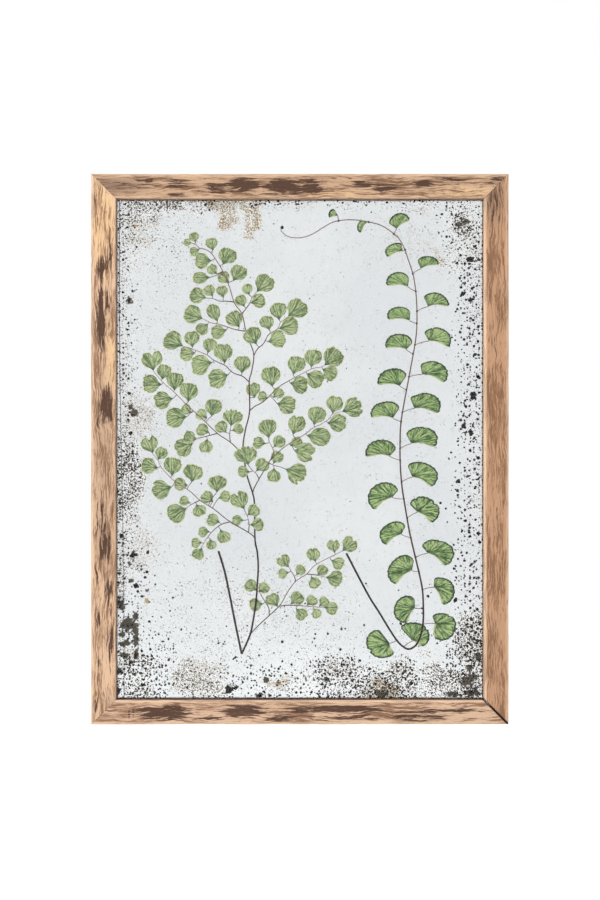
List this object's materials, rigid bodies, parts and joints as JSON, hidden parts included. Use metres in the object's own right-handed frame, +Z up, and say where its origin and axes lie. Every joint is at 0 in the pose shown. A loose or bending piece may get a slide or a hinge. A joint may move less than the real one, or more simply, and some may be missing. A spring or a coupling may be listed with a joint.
{
  "type": "pressed fern frame",
  "caption": "Narrow mitred reclaimed-wood frame that shows pressed maidenhair fern fronds on an antiqued mirror behind glass and hangs on a wall.",
  "frame": {"origin": "the hanging point: the middle of the sawtooth hanger's crown, in the plane of the rails' backs, 8 mm below the frame's top edge", "axes": "+Z up along the frame's height, +X to the right seen from the front, the front faces -Y"},
  "size_m": [0.305, 0.0244, 0.402],
  "materials": {
    "wood": "reclaimed wood, light tan with dark streaks, waxed, worn arrises",
    "glass": "clear picture glass",
    "mirror": "pale antiqued silvering, foxed with dark and gold specks along the edges",
    "board": "brown hardboard",
    "steel": "bright sheet steel",
    "brass": "brass-plated, satin",
    "left_leaf": "dry pressed leaf, yellow-green, matte",
    "right_leaf": "dry pressed leaf, mid green with dark green margins, matte",
    "stem": "dark brown dried fern stem, satin"
  },
  "bodies": {
    "root": {"rail_bottom": "wood", "rail_left": "wood", "rail_top": "wood", "rail_right": "wood", "glass_pane": "glass", "mirror_panel": "mirror", "backing_board": "board", "framer_point_1": "steel", "framer_point_2": "steel", "framer_point_3": "steel", "framer_point_4": "steel", "framer_point_5": "steel", "framer_point_6": "steel", "framer_point_7": "steel", "framer_point_8": "steel", "hanger_plate": "brass", "hanger_nail_1": "brass", "hanger_nail_2": "brass", "left_frond_stem": "left_leaf", "left_frond_branch_a": "left_leaf", "left_frond_branch_b": "left_leaf", "left_frond_branch_c": "left_leaf", "left_frond_branch_d": "left_leaf", "left_frond_branch_e": "left_leaf", "left_frond_branch_f": "left_leaf", "left_frond_branch_g": "left_leaf", "left_frond_branch_h": "left_leaf", "left_frond_branch_i": "left_leaf", "left_frond_small_spray": "left_leaf", "right_frond_stem": "stem", "right_frond_pinna_1": "right_leaf", "right_frond_pinna_2": "right_leaf", "right_frond_pinna_3": "right_leaf", "right_frond_pinna_4": "right_leaf", "right_frond_pinna_5": "right_leaf", "right_frond_pinna_6": "right_leaf", "right_frond_pinna_7": "right_leaf", "right_frond_pinna_8": "right_leaf", "right_frond_pinna_9": "right_leaf", "right_frond_pinna_10": "right_leaf", "right_frond_pinna_11": "right_leaf", "right_frond_pinna_12": "right_leaf", "right_frond_pinna_13": "right_leaf", "right_frond_pinna_14": "right_leaf", "right_frond_pinna_15": "right_leaf", "right_frond_pinna_16": "right_leaf", "right_frond_pinna_17": "right_leaf", "right_frond_pinna_18": "right_leaf", "right_frond_pinna_19": "right_leaf", "right_frond_pinna_20": "right_leaf", "right_frond_pinna_21": "right_leaf", "right_frond_pinna_22": "right_leaf", "right_frond_pinna_23": "right_leaf", "right_frond_pinna_24": "right_leaf", "right_frond_pinna_25": "right_leaf", "right_frond_pinna_26": "right_leaf", "right_frond_pinna_27": "right_leaf"}
  },
  "joints": []
}
